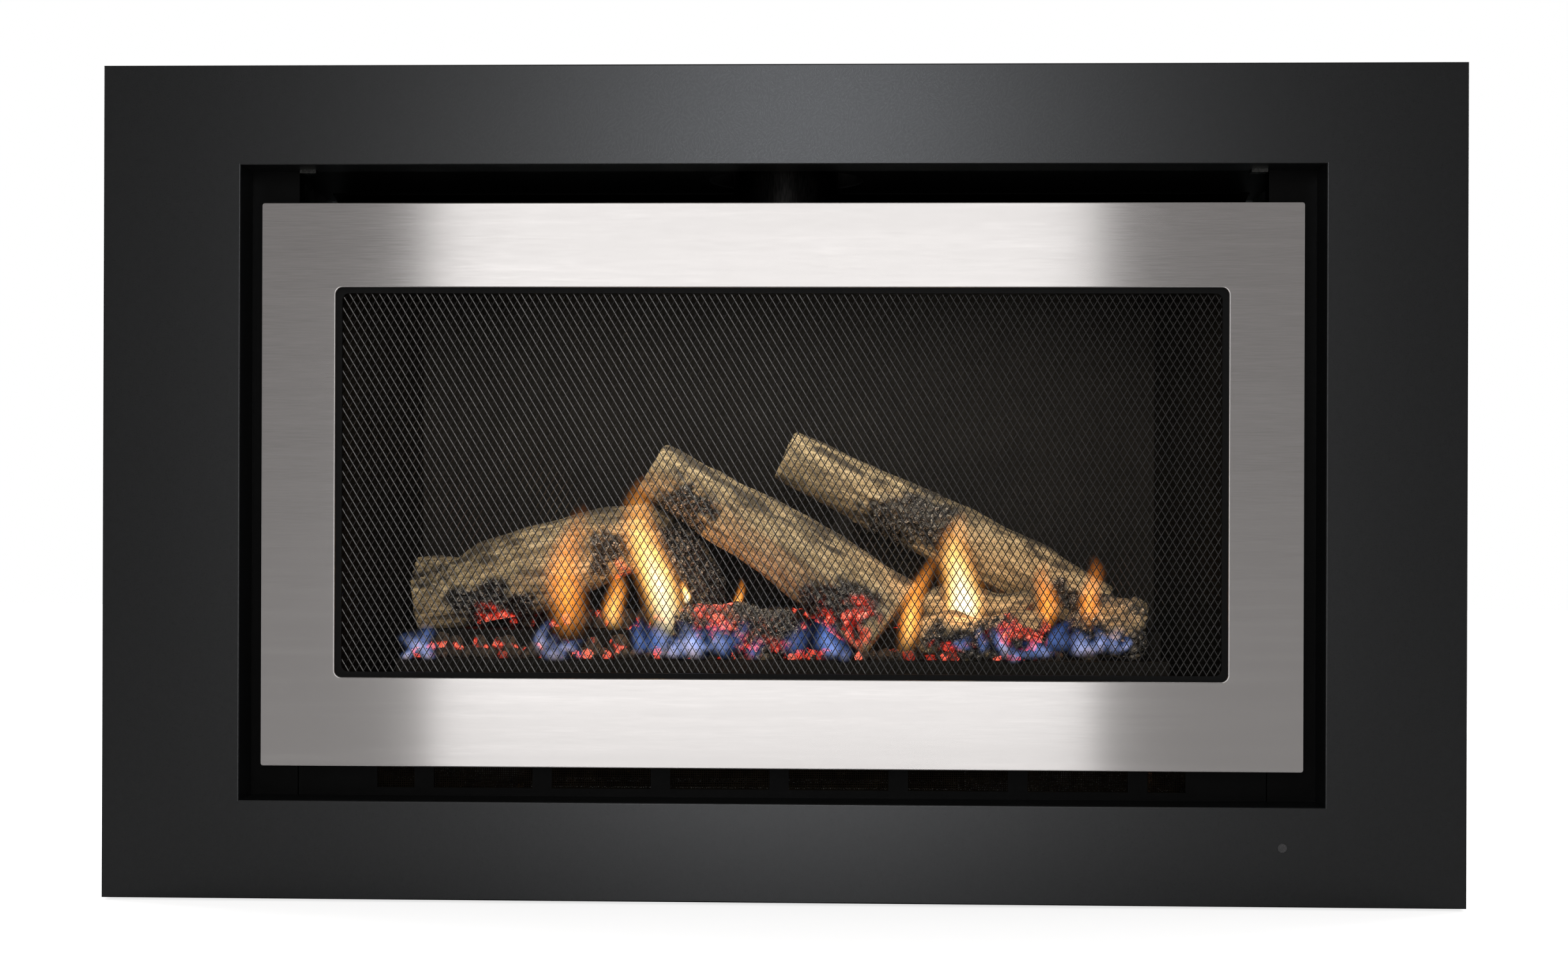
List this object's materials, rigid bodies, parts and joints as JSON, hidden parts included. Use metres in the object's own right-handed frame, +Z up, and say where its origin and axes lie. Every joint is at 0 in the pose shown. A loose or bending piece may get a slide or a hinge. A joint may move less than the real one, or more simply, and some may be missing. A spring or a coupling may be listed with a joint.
{
  "type": "in-built gas log fire",
  "caption": "Wide in-built gas log fire: black fascia, pull-off brushed steel frame with safety mesh, glass firebox, ceramic logs, convection fan, gas valve and balanced flue.",
  "frame": {"origin": "middle of the footprint, on the floor under the casing", "axes": "+X to the right as seen from the room, -Y to the room, +Z up"},
  "size_m": [1.17, 0.385, 0.721],
  "materials": {
    "fascia_coat": "fine-textured charcoal powder coat",
    "bright_tab": "bright zinc plate",
    "lens_plastic": "smoked infra-red window",
    "black_plastic": "moulded matt black",
    "stainless": "long horizontal brushing",
    "mesh_steel": "dull steel wire",
    "hem_black": "black hem",
    "zinc_steel": "zinc-plated steel",
    "bronze": "sintered bronze",
    "engine_black": "satin black heat-resisting paint",
    "net_brass": "woven wire",
    "galvanised": "spangled zinc-coated sheet",
    "firebox_black": "matt black firebox paint",
    "fire_glass": "clear ceramic glass",
    "fibre_rope": "woven glass-fibre rope",
    "flue_steel": "plain stainless tube",
    "burner_steel": "heat-blued steel",
    "yellow_brass": "machined brass",
    "copper_pipe": "drawn copper",
    "die_cast": "die-cast, sand-blasted",
    "white_ceramic": "white glaze",
    "log_ceramic": "tan fibre ceramic with charred patches",
    "ember_ceramic": "black coals with a red glow",
    "fan_aluminium": "pressed sheet",
    "box_grey": "light grey paint",
    "board_green": "solder-masked board"
  },
  "bodies": {
    "heater": {"fascia_panel": "fascia_coat", "fascia_clips": "bright_tab", "receiver_lens": "lens_plastic", "receiver_housing": "black_plastic", "cable_gland": "black_plastic", "valve_coils": "black_plastic", "casing_screws": "zinc_steel", "electrodes": "zinc_steel", "guard_bushes": "bronze", "fan_bearing": "bronze", "front_post_left": "engine_black", "front_post_right": "engine_black", "intake_grille": "engine_black", "firebox_front_frame": "engine_black", "glass_retainer": "engine_black", "outlet_deflector": "engine_black", "casing_top": "engine_black", "intake_mesh": "net_brass", "base_pan": "galvanised", "casing_left": "galvanised", "casing_right": "galvanised", "casing_back": "galvanised", "shelf_plate": "galvanised", "fan_scroll": "galvanised", "firebox_floor": "firebox_black", "firebox_back": "firebox_black", "firebox_left_wall": "firebox_black", "firebox_right_wall": "firebox_black", "firebox_roof": "firebox_black", "burner_tray": "firebox_black", "log_stand": "firebox_black", "glass_panel": "fire_glass", "glass_gasket": "fibre_rope", "throat_gasket": "fibre_rope", "flue_inner_pipe": "flue_steel", "flue_collar": "flue_steel", "burner_tubes": "burner_steel", "gas_manifold": "yellow_brass", "injectors": "yellow_brass", "gas_inlet_fitting": "yellow_brass", "gas_feed_pipe": "copper_pipe", "gas_valve_body": "die_cast", "fan_motor": "die_cast", "electrode_insulators": "white_ceramic", "log_left": "log_ceramic", "log_middle": "log_ceramic", "log_right": "log_ceramic", "small_logs": "log_ceramic", "ember_coals": "ember_ceramic", "control_box": "box_grey", "control_board": "board_green"},
    "dress_guard": {"dress_frame": "stainless", "mesh_hem": "hem_black", "guard_mesh": "mesh_steel", "guard_pins": "zinc_steel"},
    "fan_rotor": {"fan_impeller": "fan_aluminium", "fan_shaft": "zinc_steel"},
    "shutoff_valve": {"shutoff_plunger": "zinc_steel"},
    "modulating_valve": {"modulating_plunger": "zinc_steel"}
  },
  "joints": [
    {"name": "guard_pull", "type": "slide", "parent": "heater", "child": "dress_guard", "axis": [0, -1, 0], "range_m": [0, 0.06]},
    {"name": "fan_spin", "type": "hinge", "parent": "heater", "child": "fan_rotor", "pos_m": [0, 0.1335, 0.062], "axis": [1, 0, 0], "continuous": true},
    {"name": "shutoff_travel", "type": "slide", "parent": "heater", "child": "shutoff_valve", "axis": [0, 0, 1], "range_m": [0, 0.003], "stiffness_N_per_m": 300, "springref_m": -0.002},
    {"name": "modulating_travel", "type": "slide", "parent": "heater", "child": "modulating_valve", "axis": [0, 0, 1], "range_m": [0, 0.004], "stiffness_N_per_m": 200, "springref_m": -0.001}
  ]
}
